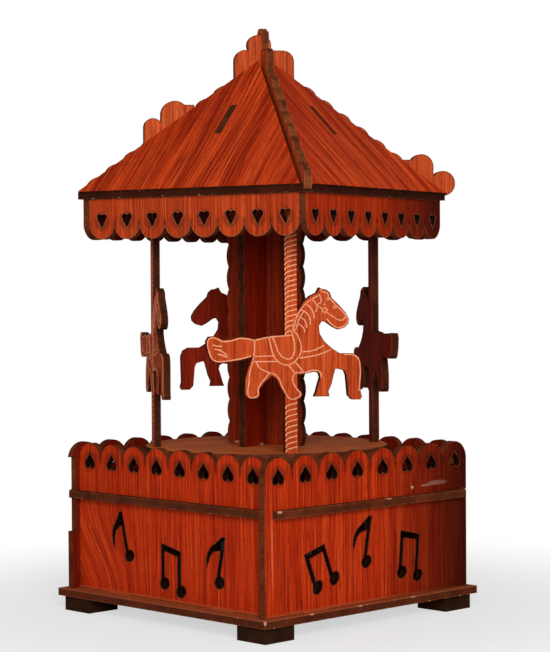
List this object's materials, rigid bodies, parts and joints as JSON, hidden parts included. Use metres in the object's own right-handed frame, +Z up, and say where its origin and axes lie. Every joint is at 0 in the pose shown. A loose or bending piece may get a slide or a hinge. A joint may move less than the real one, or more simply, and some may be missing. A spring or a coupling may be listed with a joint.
{
  "type": "carousel music box",
  "caption": "Square wind-up music box in veneered cut board, with note and heart cut-outs, carrying a roofed carousel of horses on poles that turns as the movement plays.",
  "frame": {"origin": "on the carousel's vertical spindle axis, at the level of the feet's underside, 1 mm under the end face of the winding arbor", "axes": "+Z up along the spindle; -Y out through the front panel, +X out through the right panel"},
  "size_m": [0.1318, 0.133, 0.2347],
  "materials": {
    "veneered_board": "open-grain red-orange veneer, satin, with dark cut edges",
    "dark_board": "dark red veneer in shade, satin",
    "engraved_board": "orange veneer with light engraved lines",
    "brown_board": "brown fibreboard, matt",
    "disc_board": "light brown board, matt",
    "brass": "turned and lightly brushed",
    "bright_steel": "zinc plated",
    "spring_steel": "blued grey steel"
  },
  "bodies": {
    "box": {"base_plate": "brown_board", "corner_feet": "brown_board", "panel_front": "veneered_board", "panel_right": "veneered_board", "panel_back": "veneered_board", "panel_left": "veneered_board", "trim_front": "brown_board", "trim_right": "brown_board", "trim_back": "brown_board", "trim_left": "brown_board", "movement_bedplate": "bright_steel", "bedplate_screws": "spring_steel", "bridge_pillars": "bright_steel", "top_bridge": "brass", "bridge_screws": "spring_steel", "comb_block": "bright_steel", "tone_comb": "spring_steel", "comb_screws": "spring_steel", "drum_bearings": "bright_steel", "governor_frame": "brass"},
    "carousel": {"spring_barrel": "brass", "mainspring": "spring_steel", "crown_wheel": "brass", "output_shaft": "bright_steel", "turntable_hub": "brass", "hub_screws": "spring_steel", "turntable_disc": "disc_board", "column_board_a": "dark_board", "column_board_b": "dark_board", "horse_front": "engraved_board", "horse_right": "engraved_board", "horse_back": "engraved_board", "horse_left": "engraved_board", "roof_plate": "brown_board", "valance_front": "veneered_board", "valance_right": "veneered_board", "valance_back": "veneered_board", "valance_left": "veneered_board", "roof_panel_front": "veneered_board", "roof_panel_right": "veneered_board", "roof_panel_back": "veneered_board", "roof_panel_left": "veneered_board", "hip_board_a": "veneered_board", "hip_board_b": "veneered_board", "roof_rafters": "brown_board"},
    "drum": {"pinned_drum": "brass", "drum_arbor": "bright_steel", "drum_pinion": "brass", "drum_gear": "brass"},
    "idler": {"idler_arbor": "bright_steel", "idler_pinion": "brass", "worm_wheel": "brass"},
    "governor": {"governor_worm": "spring_steel", "air_brake": "brass"},
    "winder": {"winding_arbor": "bright_steel", "winding_key": "brass"}
  },
  "joints": [
    {"name": "carousel_spin", "type": "hinge", "parent": "box", "child": "carousel", "pos_m": [0, 0, 0.06], "axis": [0, 0, 1], "continuous": true},
    {"name": "drum_spin", "type": "hinge", "parent": "box", "child": "drum", "pos_m": [0.028, 0, 0.0324], "axis": [1, 0, 0], "continuous": true},
    {"name": "idler_spin", "type": "hinge", "parent": "box", "child": "idler", "pos_m": [0.04, 0.015, 0.0324], "axis": [1, 0, 0], "continuous": true},
    {"name": "governor_spin", "type": "hinge", "parent": "box", "child": "governor", "pos_m": [0.0376, 0.0222, 0.0324], "axis": [0, 0, 1], "continuous": true},
    {"name": "winder_turn", "type": "hinge", "parent": "box", "child": "winder", "pos_m": [0, 0, 0.005], "axis": [0, 0, 1], "range_deg": [0, 1440]}
  ],
  "couplings": [
    {"joint": "drum_spin", "follows": "carousel_spin", "ratio": 2},
    {"joint": "idler_spin", "follows": "carousel_spin", "ratio": -4},
    {"joint": "governor_spin", "follows": "carousel_spin", "ratio": 72}
  ]
}
